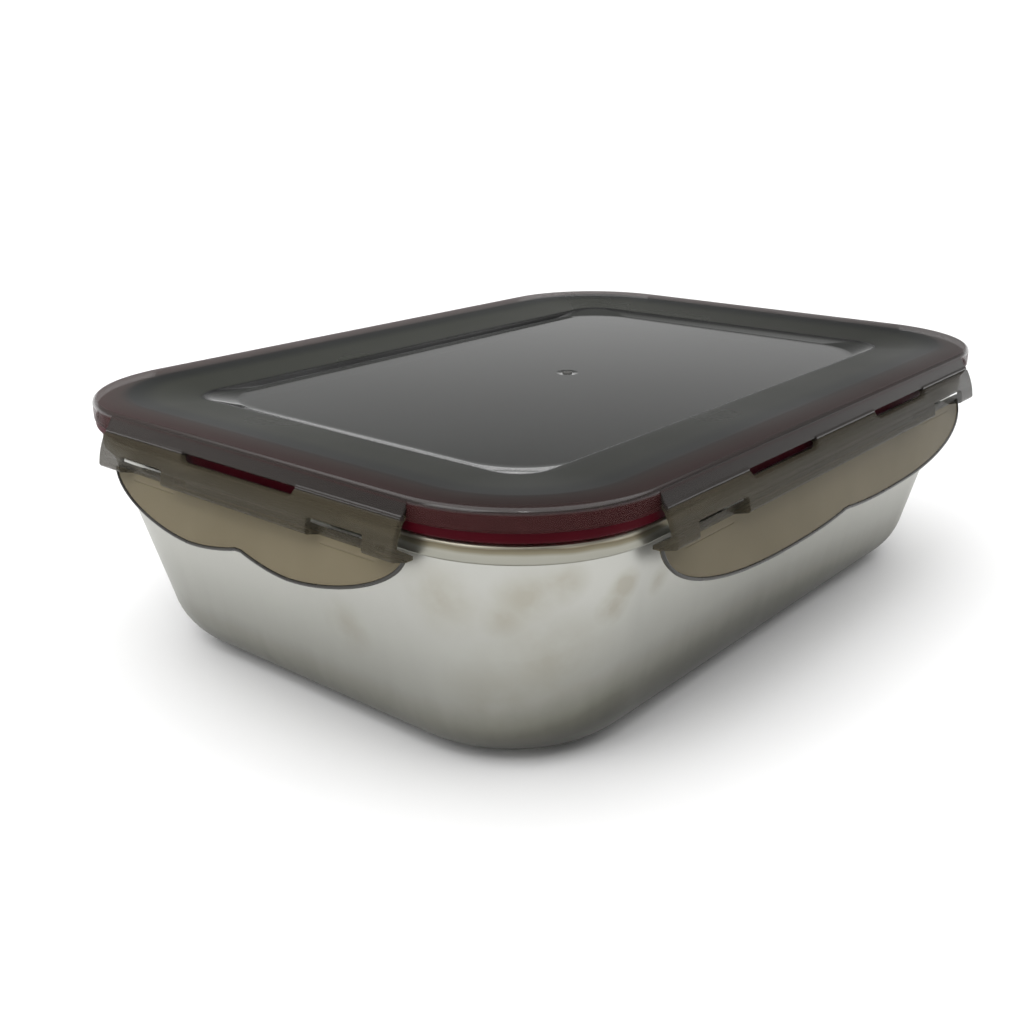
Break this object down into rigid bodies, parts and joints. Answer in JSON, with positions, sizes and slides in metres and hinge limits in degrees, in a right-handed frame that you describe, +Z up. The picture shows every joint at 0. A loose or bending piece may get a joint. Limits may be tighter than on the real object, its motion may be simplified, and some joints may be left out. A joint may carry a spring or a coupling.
{
  "type": "lunch box",
  "caption": "Rectangular steel lunch box with a rolled rim, a smoky plastic lid, a crimson silicone seal and a snap flap on each side",
  "frame": {"origin": "middle of the tub's underside, on the surface the box stands on", "axes": "+Z up; X along the long side; +Y towards the back flap, so the front flap faces -Y and the left flap faces -X"},
  "size_m": [0.2622, 0.1922, 0.073],
  "materials": {
    "steel": "satin",
    "lid_plastic": "semi-gloss, smoky translucent",
    "flap_plastic": "semi-gloss, smoky translucent",
    "seal_silicone": "satin"
  },
  "bodies": {
    "tub": {"tub_shell": "steel", "rolled_rim": "steel"},
    "lid": {"lid": "lid_plastic", "seal": "seal_silicone", "front_hinge": "lid_plastic", "back_hinge": "lid_plastic", "left_hinge": "lid_plastic", "right_hinge": "lid_plastic"},
    "front_flap": {"front_flap": "flap_plastic", "front_latches": "flap_plastic"},
    "back_flap": {"back_flap": "flap_plastic", "back_latches": "flap_plastic"},
    "left_flap": {"left_flap": "flap_plastic", "left_latches": "flap_plastic"},
    "right_flap": {"right_flap": "flap_plastic", "right_latches": "flap_plastic"}
  },
  "joints": [
    {"name": "lid_lift", "type": "slide", "parent": "tub", "child": "lid", "axis": [0, 0, 1], "range_m": [0, 0.06], "deforming": ["front_latches", "back_latches", "left_latches", "right_latches"]},
    {"name": "front_flap_hinge", "type": "hinge", "parent": "lid", "child": "front_flap", "pos_m": [0, -0.0925, 0.0688], "axis": [-1, 0, 0], "range_deg": [0, 120]},
    {"name": "back_flap_hinge", "type": "hinge", "parent": "lid", "child": "back_flap", "pos_m": [0, 0.0925, 0.0688], "axis": [1, 0, 0], "range_deg": [0, 120]},
    {"name": "left_flap_hinge", "type": "hinge", "parent": "lid", "child": "left_flap", "pos_m": [-0.1275, 0, 0.0688], "axis": [0, 1, 0], "range_deg": [0, 120]},
    {"name": "right_flap_hinge", "type": "hinge", "parent": "lid", "child": "right_flap", "pos_m": [0.1275, 0, 0.0688], "axis": [0, -1, 0], "range_deg": [0, 120]}
  ]
}
